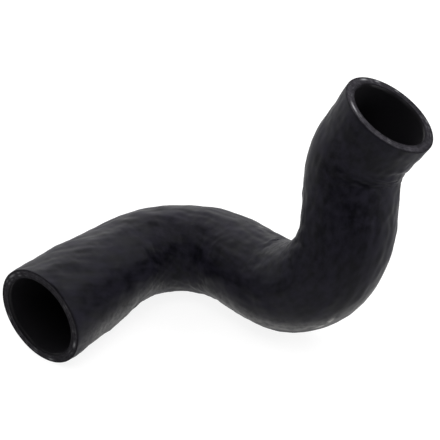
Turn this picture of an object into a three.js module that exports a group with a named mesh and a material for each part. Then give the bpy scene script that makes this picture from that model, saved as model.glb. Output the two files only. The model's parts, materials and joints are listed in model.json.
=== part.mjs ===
// Radiator hose: one moulded piece of ply-reinforced rubber with three bends.
// The inlet has a long, fat cuff, the body runs at one bore, and the outlet ends in a short flare.
// Units are millimetres and +Z is up. The hose lies as it comes to rest, on its inlet cuff and
// its first bend, and the outlet end stands up from the elbow.

import * as THREE from "three";
import { mergeVertices } from "three/addons/utils/BufferGeometryUtils.js";

// Bores and wall
const WALL = 5;
const INLET_BORE = 45;
const BODY_BORE = 39;
const OUTLET_BORE = 41;

// Inlet cuff and outlet flare, as lengths along the hose
const CUFF_LENGTH = 26;
const CUFF_DRAFT = 0.3;
const CUFF_TAPER = 36;
const OUTLET_FLARE = 20.5;

// Rounded edges of the two cut ends
const OUTER_EDGE = 0.4;
const BORE_EDGE = 0.3;

// Route of the centre line: straight legs, bend radii and bend angles in degrees
const INLET_LEG = 62;
const FIRST_BEND_RADIUS = 43.5;
const FIRST_BEND_ANGLE = 100;
const MIDDLE_LEG = 23;
const ELBOW_RADIUS = 44.5;
const ELBOW_ANGLE = 101.5;
const UPPER_LEG = 21;
const OUTLET_BEND_RADIUS = 31;
const OUTLET_BEND_ANGLE = 38.5;
const OUTLET_LEG = 21.5;

// Turn of each bend's plane about the hose, from the plane of the bend before it, in degrees
const ELBOW_TURN = 105.5;
const OUTLET_BEND_TURN = 180;

// How the hose lies: the fat cuff rests flat, so the inlet leg slopes down from it and the
// middle leg leans up from the first bend
const INLET_SLOPE = 0.66;
const FIRST_BEND_LEAN = 1.42;

// The crease across the inner side of the tight outlet bend, where it ends: a valley between
// two low lips. To both sides it curves back along the hose, narrows and runs out.
const CREASE_DEPTH = 0.9;
const CREASE_WIDTH = 3;
const CREASE_PAST_BEND = 3.4;
const CREASE_CURVE = 4;
const CREASE_REACH = 50;

// Fineness of the mesh
const SIDES = 42;
const BEND_STEP = 6.5;
const TAPER_STEPS = 5;
const CREASE_STEPS = 12;
const EDGE_STEPS = 3;
const CLOSEST_RINGS = 1;

const RUBBER = { color: 0x1b1b20, roughness: 0.72, metalness: 0 };

const { degToRad, lerp, smoothstep, clamp } = THREE.MathUtils;

function straightLeg(length) {
  const at = (distance) => new THREE.Matrix4().makeTranslation(0, distance, 0);
  return { length, steps: 1, at };
}

// A bend turns the hose about an axis that stands beside it, on the side given by roll.
function bend(radius, degrees, roll) {
  const inward = new THREE.Vector3(Math.cos(roll), 0, Math.sin(roll));
  const axis = new THREE.Vector3(0, 1, 0).cross(inward);
  const centre = inward.clone().multiplyScalar(radius);
  const at = (distance) => {
    const back = new THREE.Matrix4().makeTranslation(-centre.x, -centre.y, -centre.z);
    const turn = new THREE.Matrix4().makeRotationAxis(axis, distance / radius);
    const out = new THREE.Matrix4().makeTranslation(centre.x, centre.y, centre.z);
    return out.multiply(turn).multiply(back);
  };
  return { length: radius * degToRad(degrees), steps: Math.ceil(degrees / BEND_STEP), at, roll };
}

// The pieces of the route in order, each with the distance and the frame at which it starts.
// A frame's Y axis points along the hose, and its X axis is where roll is measured from.
function layRoute(pieces, firstFrame) {
  let start = 0;
  let frame = firstFrame;
  return pieces.map((piece) => {
    const laid = { ...piece, start, frame };
    start += piece.length;
    frame = frame.clone().multiply(piece.at(piece.length));
    return laid;
  });
}

const elbowRoll = degToRad(ELBOW_TURN);
const outletRoll = elbowRoll + degToRad(OUTLET_BEND_TURN);
const slope = new THREE.Matrix4().makeRotationX(-degToRad(INLET_SLOPE));
const lean = new THREE.Matrix4().makeRotationY(degToRad(FIRST_BEND_LEAN));

const route = layRoute([
  straightLeg(INLET_LEG),
  bend(FIRST_BEND_RADIUS, FIRST_BEND_ANGLE, 0),
  straightLeg(MIDDLE_LEG),
  bend(ELBOW_RADIUS, ELBOW_ANGLE, elbowRoll),
  straightLeg(UPPER_LEG),
  bend(OUTLET_BEND_RADIUS, OUTLET_BEND_ANGLE, outletRoll),
  straightLeg(OUTLET_LEG),
], slope.multiply(lean));

const outletBend = route[5];
const outletLeg = route[6];
const hoseLength = outletLeg.start + outletLeg.length;

// The frame of the centre line at a distance along the hose
function frameAt(distance) {
  const piece = route.findLast((candidate) => candidate.start <= distance) ?? route[0];
  return piece.frame.clone().multiply(piece.at(distance - piece.start));
}

const flareStart = hoseLength - OUTLET_FLARE;
const cuffEnd = CUFF_LENGTH + CUFF_TAPER;

// A radius that runs from the inlet's to the body's over the cuff's taper, then flares at the outlet
function radiusAlong(distance, inlet, body, outlet) {
  const tapered = lerp(inlet, body, smoothstep(distance, CUFF_LENGTH, cuffEnd));
  return lerp(tapered, outlet, smoothstep(distance, flareStart, hoseLength));
}

function boreRadius(distance) {
  return radiusAlong(distance, INLET_BORE / 2, BODY_BORE / 2, OUTLET_BORE / 2);
}

// The cuff's outside draws in a little from its mouth to its back
function outerRadius(distance) {
  const draft = CUFF_DRAFT * clamp(distance / CUFF_LENGTH, 0, 1);
  const inlet = INLET_BORE / 2 + WALL - draft;
  return radiusAlong(distance, inlet, BODY_BORE / 2 + WALL, OUTLET_BORE / 2 + WALL);
}

const creaseMiddle = outletBend.start + outletBend.length + CREASE_PAST_BEND;

// How far the crease moves the outside at a place: inward in its valley, outward on its lips
function creaseRise(distance, angle) {
  const aside = Math.acos(clamp(Math.cos(angle - outletBend.roll), -1, 1));
  const runOut = smoothstep(aside, 0, degToRad(CREASE_REACH));
  const width = CREASE_WIDTH * (1 - runOut / 2);
  const across = (distance - creaseMiddle + CREASE_CURVE * runOut) / width;
  return CREASE_DEPTH * (1 - runOut) * (2 * across ** 2 - 1) * Math.exp(-(across ** 2));
}

function evenly(from, to, steps) {
  return Array.from({ length: steps + 1 }, (_, index) => lerp(from, to, index / steps));
}

// Distances at which the mesh has a ring, from one limit to the other
function ringsBetween(from, to, marks) {
  const wanted = [CUFF_LENGTH, ...marks];
  for (const piece of route) {
    wanted.push(...evenly(piece.start, piece.start + piece.length, piece.steps));
  }
  wanted.push(...evenly(CUFF_LENGTH, cuffEnd, TAPER_STEPS));
  wanted.push(...evenly(flareStart, hoseLength, TAPER_STEPS));
  const rings = [from];
  for (const distance of wanted.sort((a, b) => a - b)) {
    const isClear = distance - rings.at(-1) > CLOSEST_RINGS && to - distance > CLOSEST_RINGS;
    if (isClear) {
      rings.push(distance);
    }
  }
  return [...rings, to];
}

// A quarter round between the side of the wall and a cut end, as profile points (radius, distance).
// The centre lies inside the rubber, and the two angles are measured from straight outwards.
function edge(radius, distance, size, fromAngle, toAngle) {
  return evenly(fromAngle, toAngle, EDGE_STEPS).map((angle) => {
    const x = radius + size * Math.cos(angle);
    const y = distance + size * Math.sin(angle);
    return new THREE.Vector2(x, y);
  });
}

// The closed outline of the wall, cut along the straight hose: out along the outside,
// round the outlet's end, back along the bore and round the inlet's end
function wallOutline() {
  const creaseStart = creaseMiddle - CREASE_CURVE / 2 - CREASE_WIDTH;
  const creaseEnd = creaseMiddle + 2 * CREASE_WIDTH;
  const creaseMarks = evenly(creaseStart, creaseEnd, CREASE_STEPS);
  const outside = ringsBetween(OUTER_EDGE, hoseLength - OUTER_EDGE, creaseMarks);
  const inside = ringsBetween(BORE_EDGE, hoseLength - BORE_EDGE, []).reverse();
  const quarter = Math.PI / 2;
  const outline = [
    ...outside.map((distance) => new THREE.Vector2(outerRadius(distance), distance)),
    ...edge(outerRadius(hoseLength) - OUTER_EDGE, hoseLength - OUTER_EDGE, OUTER_EDGE, 0, quarter).slice(1),
    ...edge(boreRadius(hoseLength) + BORE_EDGE, hoseLength - BORE_EDGE, BORE_EDGE, quarter, 2 * quarter),
    ...inside.slice(1).map((distance) => new THREE.Vector2(boreRadius(distance), distance)),
    ...edge(boreRadius(0) + BORE_EDGE, BORE_EDGE, BORE_EDGE, 2 * quarter, 3 * quarter).slice(1),
    ...edge(outerRadius(0) - OUTER_EDGE, OUTER_EDGE, OUTER_EDGE, 3 * quarter, 4 * quarter),
  ];
  outline[outline.length - 1] = outline[0].clone();
  return outline;
}

// The straight, revolved hose gets its crease and is bent along the route, point by point
function bendAlongRoute(geometry) {
  const position = geometry.attributes.position;
  const point = new THREE.Vector3();
  for (let index = 0; index < position.count; index += 1) {
    point.fromBufferAttribute(position, index);
    const distance = point.y;
    const angle = Math.atan2(point.z, point.x);
    const radius = Math.hypot(point.x, point.z);
    const isOutside = radius > boreRadius(distance) + WALL / 2;
    const creased = isOutside ? radius + creaseRise(distance, angle) : radius;
    point.set(creased * Math.cos(angle), 0, creased * Math.sin(angle));
    point.applyMatrix4(frameAt(distance));
    position.setXYZ(index, point.x, point.y, point.z);
  }
}

// The origin is under the middle of the hose, on the ground
function standOnGround(geometry) {
  geometry.computeBoundingBox();
  const { min, max } = geometry.boundingBox;
  geometry.translate(-(min.x + max.x) / 2, -(min.y + max.y) / 2, -min.z);
}

function makeHose() {
  const straight = new THREE.LatheGeometry(wallOutline(), SIDES);
  straight.deleteAttribute("uv");
  straight.deleteAttribute("normal");
  const geometry = mergeVertices(straight, 1e-4);
  bendAlongRoute(geometry);
  standOnGround(geometry);
  geometry.computeVertexNormals();
  const hose = new THREE.Mesh(geometry, new THREE.MeshStandardMaterial(RUBBER));
  hose.name = "hose";
  return hose;
}

const part = new THREE.Group();
part.add(makeHose());

export default part;
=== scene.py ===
import json
import math

import bpy
import numpy as np
from mathutils import Matrix, Vector, noise


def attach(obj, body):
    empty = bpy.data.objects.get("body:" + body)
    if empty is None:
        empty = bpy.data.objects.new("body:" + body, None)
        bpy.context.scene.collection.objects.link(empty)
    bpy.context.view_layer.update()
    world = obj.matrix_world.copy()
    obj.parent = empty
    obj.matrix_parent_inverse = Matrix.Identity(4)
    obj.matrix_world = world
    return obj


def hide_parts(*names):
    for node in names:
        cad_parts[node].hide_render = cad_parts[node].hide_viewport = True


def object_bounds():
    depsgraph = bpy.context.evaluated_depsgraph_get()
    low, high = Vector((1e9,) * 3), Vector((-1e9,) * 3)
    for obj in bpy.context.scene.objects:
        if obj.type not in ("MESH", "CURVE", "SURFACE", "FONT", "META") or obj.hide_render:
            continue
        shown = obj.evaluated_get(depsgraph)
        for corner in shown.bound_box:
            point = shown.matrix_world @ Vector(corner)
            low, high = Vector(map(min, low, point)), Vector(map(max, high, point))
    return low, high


MM = 0.001

# Bores and wall
WALL = 5.0
INLET_BORE = 45.0
BODY_BORE = 39.0
OUTLET_BORE = 41.0

# Inlet cuff and outlet flare, along the hose
CUFF_LENGTH = 26.0
CUFF_DRAFT = 0.3
CUFF_TAPER = 36.0
OUTLET_FLARE = 20.5

# Rounded edges of the cut ends
OUTER_EDGE = 0.4
BORE_EDGE = 0.3

# Route: legs, bend radii, bend angles and the turn of each bend's plane from the one before
INLET_LEG = 62.0
FIRST_BEND_RADIUS = 43.5
FIRST_BEND_ANGLE = 100.0
MIDDLE_LEG = 23.0
ELBOW_RADIUS = 44.5
ELBOW_ANGLE = 101.5
ELBOW_TURN = 105.5
UPPER_LEG = 21.0
OUTLET_BEND_RADIUS = 31.0
OUTLET_BEND_ANGLE = 38.5
OUTLET_BEND_TURN = 180.0
OUTLET_LEG = 21.5

# How the hose lies
INLET_SLOPE = 0.66
FIRST_BEND_LEAN = 1.42

# Crease on the inner side of the outlet bend: a valley between two lips, narrowing to both sides. It
# is 0.2 mm shallower than the solid's, because the photo's looks softer there.
CREASE_DEPTH = 0.7
CREASE_WIDTH = 3.0
CREASE_PAST_BEND = 3.4
CREASE_CURVE = 4.0
CREASE_REACH = 50.0

# Wrinkles: (from, to, angle at the start, pitch between ridges, ridges, slant per mm, width, height)
FIRST_BEND_WRINKLES = (40.0, 108.0, 315.6, 11.0, 4, 0.9, 1.9, 0.36)
ELBOW_WRINKLES = (158.0, 216.0, 31.0, 17.0, 3, 0.93, 2.6, 0.38)
OUTLET_WRINKLES = (276.0, 300.0, 300.0, 13.0, 3, -1.1, 1.6, 0.2)
# How far a ridge sways to its sides and the steady share of its height, each with its swing's length
RIDGE_SWAY = 1.2
RIDGE_SWAY_LENGTH = 9.0
RIDGE_STEADY = 0.6
RIDGE_STEADY_LENGTH = 14.0
# Places in the noise, so that the ridges differ from one another
SWAY_SHIFT = 5.3
HEIGHT_SHIFT = 3.1
HEIGHT_PLACE = 7.0

# Marks of the wrapping that held the hose while it was cured
WRAP_TWIST = 0.024
WRAP_TWIST_END = 90.0
WRAP_SQUEEZE = 0.3
UPPER_WRAP_SQUEEZE = 0.75
UPPER_WRAP_START = 205.0
UPPER_WRAP_FADE = 10.0
STREAK_SIZE = 3.6
STREAK_RELIEF = 0.3
# Mottles and small lumps. The mottles are evened out by a share of their height from the elbow on.
MOTTLE_SIZE = 8.0
MOTTLE_RELIEF = 0.5
MOTTLE_EVENED = 0.5
LUMP_SIZE = 3.0
LUMP_RELIEF = 0.16
# The relief runs out over this length at each cut end
RELIEF_FADE = 4.0

# Cut ends: a slightly uneven cut, and the grooves of the plies at these shares of the wall
FACE_WAVE = 0.1
FACE_WAVES = 2
PLY_LINES = (0.34, 0.66)
PLY_GROOVE = 0.14
PLY_GROOVE_WIDTH = 0.06
# Cut yarn ends on the plies: how fine they are, from which noise they show, how pale and how wide
YARN_PITCH = 7.0
YARN_FROM = 0.12
YARN_SHOW = 0.7
YARN_WIDTH = 0.07
# Tone of the cut ends: mean, its swing round the mouth, which is painted light, and where it is lightest
INLET_TONE_AND_LIGHT = (0.37, 0.08, 80.0)
OUTLET_TONE_AND_LIGHT = (0.56, 0.28, 10.0)
# Tone across the wall, darker towards the outer edge and the bore as painted shade, as (share of the wall
# from the outside, tone)
TONE_AND_SHADE_ACROSS = (
    (0.0, 0.3),
    (0.06, 0.45),
    (0.15, 0.8),
    (0.3, 0.95),
    (0.42, 1.0),
    (0.7, 0.85),
    (0.88, 0.6),
    (1.0, 0.2),
)
# Painted glints on the plies, as (angle, half its length in degrees, share of the wall, strength), and
# their half width as a share of the wall
GLINT_WIDTH = 0.1
INLET_GLINTS = (
    (134.0, 5.0, 0.38, 0.5),
    (204.0, 3.0, 0.3, 0.3),
    (283.0, 4.0, 0.33, 0.4),
    (344.0, 4.0, 0.42, 0.7),
)
OUTLET_GLINTS = (
    (31.0, 8.0, 0.46, 1.0),
    (107.0, 5.0, 0.37, 1.0),
    (129.0, 2.5, 0.33, 0.9),
    (158.0, 2.5, 0.34, 0.6),
    (212.0, 3.0, 0.25, 0.5),
)

# Pale marks on the outside, as (distance, angle, half length, half width, strength): two pale spots on the
# middle leg, a painted highlight on the elbow's wrinkle, and two scuffs under the elbow
PALE_MARKS_AND_HIGHLIGHT = (
    (145.3, 114.0, 2.6, 1.3, 0.2),
    (152.5, 107.0, 3.4, 1.1, 0.1),
    (196.0, 80.0, 4.0, 0.9, 0.12),
    (200.3, 301.0, 1.7, 0.8, 1.15),
    (195.0, 300.0, 1.9, 0.8, 1.1),
)

# The pale band along the low side is a painted reflection of the table, as (distance, angle, strength),
# and its half width in degrees
REFLECTION_BAND = (
    (0, 342, 0.0),
    (20, 340, 0.3),
    (60, 338, 0.22),
    (100, 322, 0.06),
    (125, 322, 0.06),
    (150, 332, 0.28),
    (170, 328, 0.32),
    (185, 318, 0.3),
    (200, 298, 0.26),
    (212, 274, 0.22),
    (230, 262, 0.0),
)
REFLECTION_BAND_WIDTH = 15.0

# How far the skin lies inside the solid's outside, and how far inside the CAD box it is kept
SKIN_INSET = 0.03
BOX_INSET = 0.02

# Fineness of the skin
SIDES = 176
OUTER_STEP = 1.0
BORE_STEP = 2.0
EDGE_STEPS = 6
FACE_STEPS = 14

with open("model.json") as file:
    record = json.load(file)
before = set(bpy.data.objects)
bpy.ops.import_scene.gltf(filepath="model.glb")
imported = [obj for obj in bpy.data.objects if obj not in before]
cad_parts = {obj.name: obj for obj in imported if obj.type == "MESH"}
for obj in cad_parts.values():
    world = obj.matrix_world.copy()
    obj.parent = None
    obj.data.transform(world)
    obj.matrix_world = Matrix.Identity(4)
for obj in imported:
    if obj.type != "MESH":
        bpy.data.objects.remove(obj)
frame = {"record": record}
cad_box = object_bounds()


# Route of the centre line

def straight_leg(length):
    return {"length": length, "at": lambda distance: Matrix.Translation((0, distance, 0))}


def bend(radius, degrees, roll):
    inward = Vector((math.cos(roll), 0, math.sin(roll)))
    axis = Vector((0, 1, 0)).cross(inward)
    centre = inward * radius

    def at(distance):
        turn = Matrix.Rotation(distance / radius, 4, axis)
        return Matrix.Translation(centre) @ turn @ Matrix.Translation(-centre)

    return {"length": radius * math.radians(degrees), "at": at, "roll": roll}


def lay_route(pieces, first):
    start, matrix = 0.0, first
    for piece in pieces:
        piece["start"], piece["frame"] = start, matrix
        start += piece["length"]
        matrix = matrix @ piece["at"](piece["length"])
    return pieces


def first_frame():
    """Frame of the inlet mouth, placed by the record's mount on the cut end"""
    turned = Matrix.Rotation(-math.radians(INLET_SLOPE), 4, "X")
    turned = turned @ Matrix.Rotation(math.radians(FIRST_BEND_LEAN), 4, "Y")
    mount = next(m for m in frame["record"]["mounts"] if m["name"] == "inlet_face")
    face_middle = (INLET_BORE / 2 + BORE_EDGE + INLET_BORE / 2 + WALL - OUTER_EDGE) / 2
    mouth = Vector(mount["pos_m"]) / MM - turned.to_3x3() @ Vector((face_middle, 0, 0))
    return Matrix.Translation(mouth) @ turned


elbow_roll = math.radians(ELBOW_TURN)
outlet_roll = elbow_roll + math.radians(OUTLET_BEND_TURN)
route = lay_route(
    [
        straight_leg(INLET_LEG),
        bend(FIRST_BEND_RADIUS, FIRST_BEND_ANGLE, 0.0),
        straight_leg(MIDDLE_LEG),
        bend(ELBOW_RADIUS, ELBOW_ANGLE, elbow_roll),
        straight_leg(UPPER_LEG),
        bend(OUTLET_BEND_RADIUS, OUTLET_BEND_ANGLE, outlet_roll),
        straight_leg(OUTLET_LEG),
    ],
    first_frame(),
)
elbow, outlet_bend, outlet_leg = route[3], route[5], route[6]
hose_length = outlet_leg["start"] + outlet_leg["length"]


def frame_at(distance):
    piece = [p for p in route if p["start"] <= max(distance, 0.0)][-1]
    return piece["frame"] @ piece["at"](distance - piece["start"])


# Section along the hose

def smoothstep(x, low, high):
    t = np.clip((x - low) / (high - low), 0.0, 1.0)
    return t * t * (3 - 2 * t)


def radius_along(distance, inlet, body, outlet):
    tapered = inlet + (body - inlet) * smoothstep(distance, CUFF_LENGTH, CUFF_LENGTH + CUFF_TAPER)
    return tapered + (outlet - tapered) * smoothstep(distance, hose_length - OUTLET_FLARE, hose_length)


def bore_radius(distance):
    return float(radius_along(distance, INLET_BORE / 2, BODY_BORE / 2, OUTLET_BORE / 2))


def outer_radius(distance):
    inlet = INLET_BORE / 2 + WALL - CUFF_DRAFT * np.clip(distance / CUFF_LENGTH, 0, 1)
    return float(radius_along(distance, inlet, BODY_BORE / 2 + WALL, OUTLET_BORE / 2 + WALL))


# Relief of the outside, in millimetres, outward

def turned_by(angle):
    return (angle + math.pi) % (2 * math.pi) - math.pi


def crease(distance, angle):
    aside = np.abs(turned_by(angle - outlet_bend["roll"]))
    run_out = smoothstep(aside, 0, math.radians(CREASE_REACH))
    middle = outlet_leg["start"] + CREASE_PAST_BEND - CREASE_CURVE * run_out
    across = (distance - middle) / (CREASE_WIDTH * (1 - run_out / 2))
    return CREASE_DEPTH * (1 - run_out) * (2 * across**2 - 1) * np.exp(-(across**2))


def wrinkles(distance, angle, radius, rule):
    start, end, first, pitch, count, slant, width, height = rule
    if not start < distance < end:
        return np.zeros_like(angle)
    rise = np.zeros_like(angle)
    fade = math.sin(math.pi * (distance - start) / (end - start))
    for k in range(count):
        line = math.radians(first + pitch * k + slant * (distance - start))
        sway = RIDGE_SWAY * noise.noise((distance / RIDGE_SWAY_LENGTH, k * SWAY_SHIFT, 0.0))
        across = radius * turned_by(angle - line) + sway
        unsteady = noise.noise((distance / RIDGE_STEADY_LENGTH, k * HEIGHT_SHIFT, HEIGHT_PLACE))
        strength = RIDGE_STEADY + (1 - RIDGE_STEADY) * unsteady
        rise += height * strength * fade * np.exp(-((across / width) ** 2))
    return rise


def wrap_angle(distance, angle):
    return angle + WRAP_TWIST * WRAP_TWIST_END * np.tanh(distance / WRAP_TWIST_END)


def wrap_along(distance):
    """Distance along the grain of the wrapping, which is drawn out up to the elbow and evener past it"""
    past = UPPER_WRAP_FADE * np.log1p(np.exp((distance - UPPER_WRAP_START) / UPPER_WRAP_FADE))
    return WRAP_SQUEEZE * distance + (UPPER_WRAP_SQUEEZE - WRAP_SQUEEZE) * past


def noise_over(points, size):
    return np.array([noise.noise(Vector(p) / size) for p in points])


def relief(distance, angle, radius, points):
    wound = wrap_angle(distance, angle)
    along = np.full_like(angle, wrap_along(distance))
    wrapped = np.stack([radius * np.cos(wound), along, radius * np.sin(wound)], axis=1)
    evened = 1 - MOTTLE_EVENED * smoothstep(distance, elbow["start"], elbow["start"] + elbow["length"] / 2)
    rise = MOTTLE_RELIEF * evened * noise_over(points, MOTTLE_SIZE)
    rise += LUMP_RELIEF * noise_over(points, LUMP_SIZE)
    rise += STREAK_RELIEF * noise_over(wrapped, STREAK_SIZE)
    for rule in (FIRST_BEND_WRINKLES, ELBOW_WRINKLES, OUTLET_WRINKLES):
        rise += wrinkles(distance, angle, radius, rule)
    return rise + crease(distance, angle)


# Skin of the hose

OUTSIDE, CUT_END, BORE = 0.0, 1.0, 2.0


def quarter_round(radius, distance, size, start):
    angles = np.linspace(start, start + math.pi / 2, EDGE_STEPS + 1)
    return [(radius + size * math.cos(a), distance + size * math.sin(a)) for a in angles]


def evenly(low, high, step):
    return np.linspace(low, high, max(2, round((high - low) / step) + 1))


def ply_groove(share):
    return sum(PLY_GROOVE * math.exp(-(((share - line) / PLY_GROOVE_WIDTH) ** 2)) for line in PLY_LINES)


def cut_face(start, end, inward):
    rings = []
    for share in np.linspace(0, 1, FACE_STEPS + 1)[1:-1]:
        radius = start[0] + (end[0] - start[0]) * share
        rings.append((radius, start[1] + inward * ply_groove(share)))
    return rings


def wall_outline():
    """Closed outline of the wall as (radius, distance, surface)"""
    last, half = hose_length, math.pi / 2
    inset = SKIN_INSET
    along = evenly(OUTER_EDGE, last - OUTER_EDGE, OUTER_STEP)
    outside = [(outer_radius(d) - inset, d, OUTSIDE) for d in along]
    bore = [(bore_radius(d), d, BORE) for d in evenly(last - BORE_EDGE, BORE_EDGE, -BORE_STEP)]
    corners = [
        quarter_round(outer_radius(last) - inset - OUTER_EDGE, last - inset - OUTER_EDGE, OUTER_EDGE, 0),
        quarter_round(bore_radius(last) + BORE_EDGE, last - inset - BORE_EDGE, BORE_EDGE, half),
        quarter_round(bore_radius(0) + BORE_EDGE, inset + BORE_EDGE, BORE_EDGE, 2 * half),
        quarter_round(outer_radius(0) - inset - OUTER_EDGE, inset + OUTER_EDGE, OUTER_EDGE, 3 * half),
    ]
    outlet = corners[0][1:] + cut_face(corners[0][-1], corners[1][0], -1) + corners[1][:-1]
    inlet = corners[2][1:] + cut_face(corners[2][-1], corners[3][0], 1) + corners[3][:-1]
    return outside + [(*ring, CUT_END) for ring in outlet] + bore + [(*ring, CUT_END) for ring in inlet]


def ring_of_skin(radius, distance, surface, angle):
    """One ring, as its straightened points and its points on the laid hose"""
    out, along = np.full(SIDES, radius), np.full(SIDES, distance)
    round_points = np.stack([radius * np.cos(angle), along, radius * np.sin(angle)], axis=1)
    if surface == OUTSIDE:
        from_inlet = smoothstep(distance, 0, RELIEF_FADE)
        from_outlet = 1 - smoothstep(distance, hose_length - RELIEF_FADE, hose_length)
        out = out + from_inlet * from_outlet * relief(distance, angle, radius, round_points)
    if surface == CUT_END:
        inward = 1 if distance < hose_length / 2 else -1
        mark = np.stack([np.cos(angle) * FACE_WAVES, along, np.sin(angle) * FACE_WAVES], axis=1)
        along = along + inward * FACE_WAVE * (0.5 + 0.5 * noise_over(mark, 1.0))
    straight = np.stack([out * np.cos(angle), along, out * np.sin(angle)], axis=1)
    matrix = np.array(frame_at(distance))
    local = straight - (0, distance, 0)
    return straight, local @ matrix[:3, :3].T + matrix[:3, 3]


def twisted(straight):
    angle = np.arctan2(straight[:, 2], straight[:, 0])
    radius = np.hypot(straight[:, 2], straight[:, 0])
    wound = wrap_angle(straight[:, 1], angle)
    return np.stack([radius * np.cos(wound), wrap_along(straight[:, 1]), radius * np.sin(wound)], axis=1)


def cut_tone(distance, share, angle):
    """How light a cut end is, by the share of the wall from the outside to the bore, and round it: painted
    shade towards both edges and painted light on one side of the mouth
    """
    tone, swing, lightest = INLET_TONE_AND_LIGHT if distance < hose_length / 2 else OUTLET_TONE_AND_LIGHT
    return tone * (1 + swing * np.cos(angle - math.radians(lightest))) * np.interp(share, *zip(*TONE_AND_SHADE_ACROSS))


# Painted glints at listed places on the plies, and pale cut yarn ends along the plies
def glints_and_yarn_ends(distance, share, angle):
    glints = INLET_GLINTS if distance < hose_length / 2 else OUTLET_GLINTS
    glow = np.zeros(SIDES)
    for at, reach, depth, strength in glints:
        along = turned_by(angle - math.radians(at)) / math.radians(reach)
        glow += strength * np.exp(-(along**2) - ((share - depth) / GLINT_WIDTH) ** 2)
    round_mouth = np.stack([np.cos(angle), np.sin(angle), np.full(SIDES, distance)], axis=1)
    yarns = np.clip(noise_over(round_mouth * (YARN_PITCH, YARN_PITCH, 1), 1.0) - YARN_FROM, 0, 1)
    for ply in PLY_LINES:
        glow += YARN_SHOW * yarns * np.exp(-(((share - ply) / YARN_WIDTH) ** 2))
    return glow


# A painted reflection of the table along the low side, plus pale spots, scuffs and a painted highlight at
# listed places
def reflection_and_scuffs(distance, angle):
    places, lines, strengths = zip(*REFLECTION_BAND)
    aside = np.degrees(turned_by(angle - math.radians(np.interp(distance, places, lines)))) / REFLECTION_BAND_WIDTH
    marks = np.interp(distance, places, strengths) * np.exp(-(aside**2))
    for along, at, length, width, strength in PALE_MARKS_AND_HIGHLIGHT:
        across = outer_radius(distance) * turned_by(angle - math.radians(at)) / width
        marks += strength * np.exp(-(across**2) - ((distance - along) / length) ** 2)
    return marks


def grid_quads(rings):
    ring, side = np.meshgrid(np.arange(rings), np.arange(SIDES), indexing="ij")
    next_ring, next_side = (ring + 1) % rings, (side + 1) % SIDES
    here, there = ring * SIDES, next_ring * SIDES
    corners = [here + side, here + next_side, there + next_side, there + side]
    return np.stack(corners, axis=-1).reshape(-1, 4)


def masks_of(outline, angle):
    """What the looks are masked by, with one value for each point of the skin"""
    masks = {"bore": [], "cut_tone": [], "pale": [], "scuffed": []}
    for radius, distance, surface in outline:
        share = (outer_radius(distance) - radius) / WALL
        masks["bore"].append(np.full(SIDES, float(surface == BORE)))
        # Tone of the cut ends, with painted shade at their edges and painted light on one side of each mouth
        masks["cut_tone"].append(cut_tone(distance, share, angle))
        # Painted glints and pale yarn ends, on the cut ends only
        masks["pale"].append(glints_and_yarn_ends(distance, share, angle) * (surface == CUT_END))
        # Painted reflection along the low side, with the pale spots, scuffs and painted highlight, on the
        # outside only
        masks["scuffed"].append(reflection_and_scuffs(distance, angle) * (surface == OUTSIDE))
    return {name: np.concatenate(rings) for name, rings in masks.items()}


def skin_of_hose():
    outline = wall_outline()
    angle = np.linspace(0, 2 * math.pi, SIDES, endpoint=False)
    rings = [ring_of_skin(*ring, angle) for ring in outline]
    straight = np.concatenate([ring[0] for ring in rings])
    points = np.concatenate([ring[1] for ring in rings])
    low, high = np.array(cad_box[0]) / MM + BOX_INSET, np.array(cad_box[1]) / MM - BOX_INSET
    points = np.clip(points, low, high)
    mesh = bpy.data.meshes.new("hose_skin")
    mesh.from_pydata((points * MM).tolist(), [], grid_quads(len(outline)).tolist())
    mesh.shade_smooth()
    for name, values in (("straight", straight), ("wrapped", twisted(straight))):
        mesh.attributes.new(name, "FLOAT_VECTOR", "POINT").data.foreach_set("vector", (values * MM).ravel())
    surface = np.array([ring[2] for ring in outline])
    cut_faces = (surface == CUT_END) | (np.roll(surface, -1) == CUT_END)
    mesh.polygons.foreach_set("material_index", np.repeat(cut_faces.astype(np.int32), SIDES))
    for name, values in masks_of(outline, angle).items():
        mesh.attributes.new(name, "FLOAT", "POINT").data.foreach_set("value", values)
    skin = bpy.data.objects.new("hose_skin", mesh)
    bpy.context.scene.collection.objects.link(skin)
    return skin


# Rubber

# Noises as (scale per metre, detail, roughness)
CLOUD_NOISE = (95.0, 4.0, 0.62)
STREAK_NOISE = (260.0, 3.0, 0.55)
PATCH_NOISE = (420.0, 3.0, 0.6)
OUTER_GRAIN_NOISE = (2600.0, 2.0, 0.6)
CUT_GRAIN_NOISE = (900.0, 3.0, 0.65)

# The outside: dark rubber under a thin bloom, with a painted reflection of the table along its low side,
# pale spots and scuffs, and a painted highlight at the elbow
OUTER_SHINE = 0.1
RUBBER_COLOUR = (0.0006, 0.0005, 0.0024, 1)
BLOOM_COLOUR = (0.0082, 0.0074, 0.0135, 1)
SCUFF_AND_REFLECTION_COLOUR = (0.3, 0.295, 0.285, 1)
BORE_COLOUR = (0.0085, 0.008, 0.0095, 1)

# The cut ends
CUT_SHINE = 0.025
CUT_DARK = (0.0005, 0.0004, 0.0012, 1)
CUT_LIGHT = (0.045, 0.042, 0.05, 1)
YARN_AND_GLINT_COLOUR = (0.24, 0.24, 0.25, 1)

# How a noise is spread, as (from low, from high) or (from low, from high, to low, to high)
BLOOM_SPREAD = (0.805, 1.245)
SCUFF_AND_REFLECTION_SPREAD = (0.36, 0.6, 0.5, 1.15)
OUTER_ROUGHNESS_SPREAD = (0.0, 1.0, 0.44, 0.58)
CUT_SPREAD = (0.36, 0.66, 0.5, 1.25)
CUT_ROUGHNESS_SPREAD = (0.35, 0.65, 0.3, 0.75)

# Bumps of the fine grain: strength and height in metres
OUTER_BUMP = {"Strength": 0.35, "Distance": 0.00006}
CUT_BUMP = {"Strength": 0.25, "Distance": 0.0001}


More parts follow.
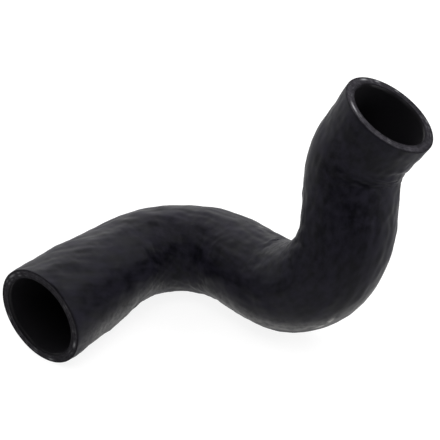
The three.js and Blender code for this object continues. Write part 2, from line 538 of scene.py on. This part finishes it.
def nodes_of(material):
    tree = material.node_tree

    def add(kind, settings=None, **inputs):
        node = tree.nodes.new(kind)
        for name, value in (settings or {}).items():
            setattr(node, name, value)
        for name, value in inputs.items():
            socket = node.inputs[int(name[1:])] if name[0] == "_" else node.inputs[name.replace("_", " ")]
            if isinstance(value, bpy.types.NodeSocket):
                tree.links.new(value, socket)
            else:
                socket.default_value = value
        return node

    return add


def principled(name, shine, **looks):
    """A material with these looks of its shader, each taken from a function of the node adder"""
    material = bpy.data.materials.new(name)
    material.use_nodes = True
    shader = material.node_tree.nodes["Principled BSDF"]
    shader.inputs["Specular IOR Level"].default_value = shine
    add = nodes_of(material)
    for socket, look in looks.items():
        material.node_tree.links.new(look(add), shader.inputs[socket.replace("_", " ")])
    return material


def vector(add, name):
    return add("ShaderNodeAttribute", {"attribute_name": name}).outputs["Vector"]


def mask(add, name):
    return add("ShaderNodeAttribute", {"attribute_name": name}).outputs["Fac"]


def noise_texture(add, place, scale, detail, roughness):
    node = add("ShaderNodeTexNoise", Vector=place, Scale=scale, Detail=detail, Roughness=roughness)
    return node.outputs["Fac"]


def spread(add, value, low, high, to_low=0.0, to_high=1.0):
    limits = {"From_Min": low, "From_Max": high, "To_Min": to_low, "To_Max": to_high}
    return add("ShaderNodeMapRange", Value=value, **limits).outputs["Result"]


def blend(add, factor, first, second):
    return add("ShaderNodeMixRGB", Fac=factor, Color1=first, Color2=second).outputs[0]


def product(add, first, second):
    return add("ShaderNodeMath", {"operation": "MULTIPLY"}, _0=first, _1=second).outputs[0]


def bloom(add):
    clouds = noise_texture(add, vector(add, "straight"), *CLOUD_NOISE)
    streaks = noise_texture(add, vector(add, "wrapped"), *STREAK_NOISE)
    both = add("ShaderNodeMath", {"operation": "ADD"}, _0=clouds, _1=streaks).outputs[0]
    return spread(add, both, *BLOOM_SPREAD)


def patches(add):
    return noise_texture(add, vector(add, "straight"), *PATCH_NOISE)


def outer_colour(add):
    outside = blend(add, bloom(add), RUBBER_COLOUR, BLOOM_COLOUR)
    # Painted reflection along the low side, pale spots, scuffs and a painted highlight, mixed in as a pale
    # colour
    scuffed_and_reflected = product(add, mask(add, "scuffed"), spread(add, patches(add), *SCUFF_AND_REFLECTION_SPREAD))
    outside = blend(add, scuffed_and_reflected, outside, SCUFF_AND_REFLECTION_COLOUR)
    return blend(add, mask(add, "bore"), outside, BORE_COLOUR)


def outer_roughness(add):
    return spread(add, bloom(add), *OUTER_ROUGHNESS_SPREAD)


def outer_grain(add):
    grain = noise_texture(add, vector(add, "straight"), *OUTER_GRAIN_NOISE)
    return add("ShaderNodeBump", **OUTER_BUMP, Height=grain).outputs[0]


def cut_grain(add):
    return noise_texture(add, vector(add, "straight"), *CUT_GRAIN_NOISE)


# The cut ends' tone holds painted shade towards both edges and painted light on one side of each mouth
def cut_colour(add):
    tone = product(add, mask(add, "cut_tone"), spread(add, patches(add), *CUT_SPREAD))
    cut = blend(add, tone, CUT_DARK, CUT_LIGHT)
    # Painted glints and pale yarn ends, mixed in as a pale colour
    return blend(add, mask(add, "pale"), cut, YARN_AND_GLINT_COLOUR)


def cut_roughness(add):
    return spread(add, cut_grain(add), *CUT_ROUGHNESS_SPREAD)


def cut_bump(add):
    return add("ShaderNodeBump", **CUT_BUMP, Height=cut_grain(add)).outputs[0]


skin = skin_of_hose()
outer_looks = {"Base_Color": outer_colour, "Roughness": outer_roughness, "Normal": outer_grain}
cut_looks = {"Base_Color": cut_colour, "Roughness": cut_roughness, "Normal": cut_bump}
skin.data.materials.append(principled("hose_rubber", OUTER_SHINE, **outer_looks))
skin.data.materials.append(principled("hose_rubber_cut", CUT_SHINE, **cut_looks))
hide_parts("hose")
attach(skin, "root")


# Studio: a glowing table with softboxes and a pale wall round it, and little light from the
# camera's side

TABLE_HALF = 2.5
TABLE_COLOUR = (0.2, 0.2, 0.2, 1)
TABLE_ROUGHNESS = 0.9
TABLE_GLOW = 0.88

BACKDROP_RADIUS = 2.4
BACKDROP_HEIGHT = 3.0
BACKDROP_SIDES = 64
BACKDROP_COLOUR = (0, 0, 0, 1)
BACKDROP_ROUGHNESS = 0.5
BACKDROP_GLOW = 0.99

# Softboxes as (name, azimuth, elevation, width, height, radiance)
SOFTBOXES = (
    ("right", 38, 16, 0.7, 0.5, 7.6),
    ("back", 128, 16, 0.7, 0.5, 3.6),
    ("back_left", 158, 16, 0.7, 0.5, 2.3),
    ("left", 188, 16, 0.7, 0.5, 2.2),
    ("far_left", 218, 16, 0.7, 0.5, 1.6),
    ("high_right", 38, 46, 0.95, 0.7, 2.8),
    ("high_back", 83, 46, 0.95, 0.7, 3.3),
    ("high_behind", 128, 46, 0.95, 0.7, 1.2),
    ("high_left", 173, 46, 0.95, 0.7, 3.4),
    ("top", 128, 88, 1.1, 1.1, 0.8),
    ("front", 308, 62, 0.9, 0.6, 3.5),
)
SOFTBOX_DISTANCE = 1.3
SOFTBOX_AIM = 0.06

WORLD_STRENGTH = 0.1


def glowing(name, colour, roughness, glow):
    material = bpy.data.materials.new(name)
    material.use_nodes = True
    shader = material.node_tree.nodes["Principled BSDF"]
    shader.inputs["Base Color"].default_value = colour
    shader.inputs["Roughness"].default_value = roughness
    shader.inputs["Specular IOR Level"].default_value = 0.0
    shader.inputs["Emission Color"].default_value = (1, 1, 1, 1)
    shader.inputs["Emission Strength"].default_value = glow
    return material


def stage_piece(name, corners, faces, material):
    mesh = bpy.data.meshes.new(name)
    mesh.from_pydata(corners, [], faces)
    mesh.materials.append(material)
    piece = bpy.data.objects.new(name, mesh)
    bpy.context.scene.collection.objects.link(piece)
    return piece


def table():
    corners = [(x * TABLE_HALF, y * TABLE_HALF, 0) for x, y in ((-1, -1), (1, -1), (1, 1), (-1, 1))]
    material = glowing("table", TABLE_COLOUR, TABLE_ROUGHNESS, TABLE_GLOW)
    return stage_piece("table", corners, [(0, 1, 2, 3)], material)


def backdrop():
    """Pale wall round the table for low views, seen by the camera alone, so that it adds no light"""
    turn = np.linspace(0, 2 * math.pi, BACKDROP_SIDES, endpoint=False)
    foot = [(BACKDROP_RADIUS * math.cos(a), BACKDROP_RADIUS * math.sin(a), 0) for a in turn]
    top = [(x, y, BACKDROP_HEIGHT) for x, y, _ in foot]
    sides = [(i, (i + 1) % BACKDROP_SIDES) for i in range(BACKDROP_SIDES)]
    walls = [(a, b, b + BACKDROP_SIDES, a + BACKDROP_SIDES) for a, b in sides]
    material = glowing("backdrop", BACKDROP_COLOUR, BACKDROP_ROUGHNESS, BACKDROP_GLOW)
    wall = stage_piece("backdrop", foot + top, walls, material)
    wall.visible_diffuse = wall.visible_glossy = wall.visible_transmission = wall.visible_shadow = False
    return wall


def softbox(name, azimuth, elevation, width, height, radiance):
    data = bpy.data.lights.new(name, "AREA")
    data.shape = "RECTANGLE"
    data.size, data.size_y = width, height
    data.energy = radiance * math.pi * width * height
    a, e = math.radians(azimuth), math.radians(elevation)
    toward = Vector((math.cos(a) * math.cos(e), math.sin(a) * math.cos(e), math.sin(e)))
    lamp = bpy.data.objects.new(name, data)
    lamp.location = Vector((0, 0, SOFTBOX_AIM)) + toward * SOFTBOX_DISTANCE
    lamp.rotation_euler = toward.to_track_quat("Z", "Y").to_euler()
    lamp.visible_camera = False
    bpy.context.scene.collection.objects.link(lamp)


def studio():
    table()
    backdrop()
    for box in SOFTBOXES:
        softbox(*box)
    world = bpy.data.worlds.new("studio")
    world.use_nodes = True
    world.node_tree.nodes["Background"].inputs["Color"].default_value = (1, 1, 1, 1)
    world.node_tree.nodes["Background"].inputs["Strength"].default_value = WORLD_STRENGTH
    bpy.context.scene.world = world
    bpy.context.scene.view_settings.view_transform = "Standard"


studio()

# Camera: the photograph's place, from the perspective of the two mouths and the outline. Angles are in
# degrees, the lens and the sensor in millimetres.
VIEW_AZIMUTH = 38.65
VIEW_ELEVATION = 31.27
VIEW_ROLL = -1.9
VIEW_DISTANCE = 627.9
AIM_HEIGHT = 60.0
AIM_RIGHT = -0.06
AIM_UP = 10.29
LENS = 98.7
SENSOR_WIDTH = 36.0


def camera():
    data = bpy.data.cameras.new("camera")
    data.lens = LENS
    data.sensor_width = SENSOR_WIDTH
    a, e = math.radians(VIEW_AZIMUTH), math.radians(VIEW_ELEVATION)
    look = Vector((-math.sin(a) * math.cos(e), math.cos(a) * math.cos(e), -math.sin(e)))
    right = Vector((math.cos(a), math.sin(a), 0))
    up = right.cross(look)
    turned = Matrix((right, up, -look)).transposed() @ Matrix.Rotation(math.radians(VIEW_ROLL), 3, "Z")
    place = turned @ Vector((AIM_RIGHT, AIM_UP, VIEW_DISTANCE)) + Vector((0, 0, AIM_HEIGHT))
    made = bpy.data.objects.new("camera", data)
    made.matrix_world = Matrix.Translation(place * MM) @ turned.to_4x4()
    bpy.context.scene.collection.objects.link(made)
    bpy.context.scene.camera = made


camera()
